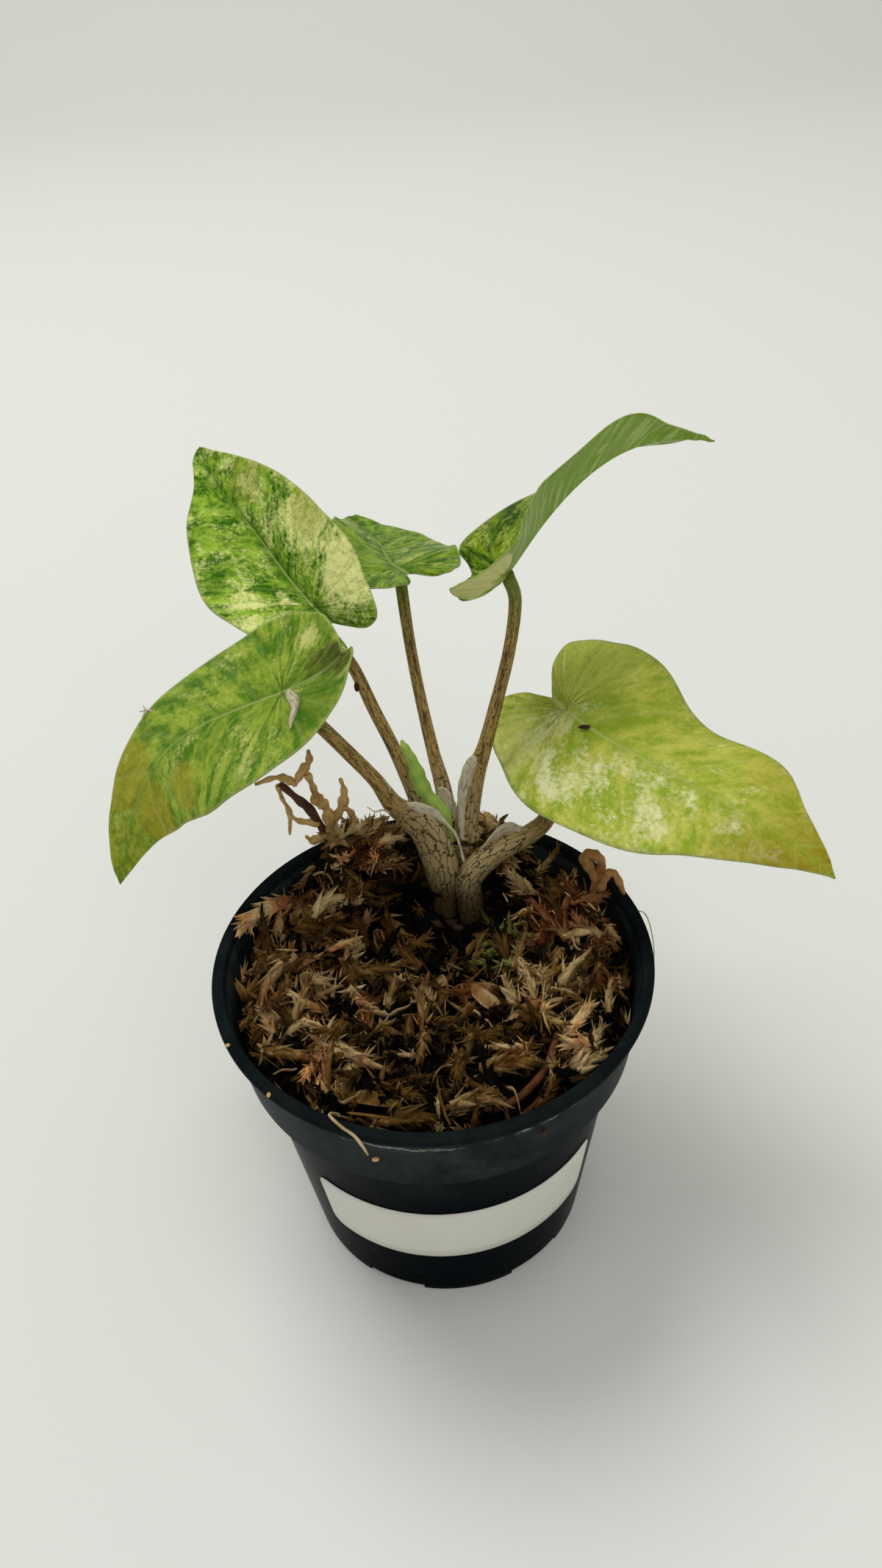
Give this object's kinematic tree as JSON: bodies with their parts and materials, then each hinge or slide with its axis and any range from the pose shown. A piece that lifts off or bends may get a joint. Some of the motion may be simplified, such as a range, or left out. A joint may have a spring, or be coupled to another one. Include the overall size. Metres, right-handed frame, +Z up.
{
  "type": "potted variegated corazon alocasia",
  "caption": "Young aroid with heart-shaped green and cream leaves on slim stalks, in a round black nursery pot filled with sphagnum moss.",
  "frame": {"origin": "centre of the pot's flat base, on the surface that it stands on", "axes": "+Z up along the pot's axis, -Y towards the front with the label, +X to the right seen from the front"},
  "size_m": [0.143, 0.1801, 0.1623],
  "materials": {
    "pot_plastic": "satin black moulded plastic, slightly dusty",
    "label_paper": "matt white sticker",
    "moss": "dry fibrous moss",
    "dry_plant": "dull dried plant matter",
    "stalk_skin": "waxy beige skin with brown streaks",
    "leaf": "glossy green leaf with cream marbling",
    "root": "rough brown rootstock"
  },
  "bodies": {
    "root": {"pot": "pot_plastic", "label": "label_paper", "moss_bed": "moss", "moss_olive": "moss", "moss_russet": "moss", "moss_tuft": "dry_plant", "moss_stalk": "dry_plant", "dry_sprig": "dry_plant", "curled_root": "dry_plant", "stray_root": "dry_plant", "corm": "root", "new_leaf": "leaf", "petiole_a": "stalk_skin", "blade_a": "leaf", "petiole_b": "stalk_skin", "blade_b": "leaf", "petiole_c": "stalk_skin", "blade_c": "leaf", "petiole_d": "stalk_skin", "blade_d": "leaf", "petiole_e": "stalk_skin", "blade_e": "leaf"}
  },
  "joints": []
}
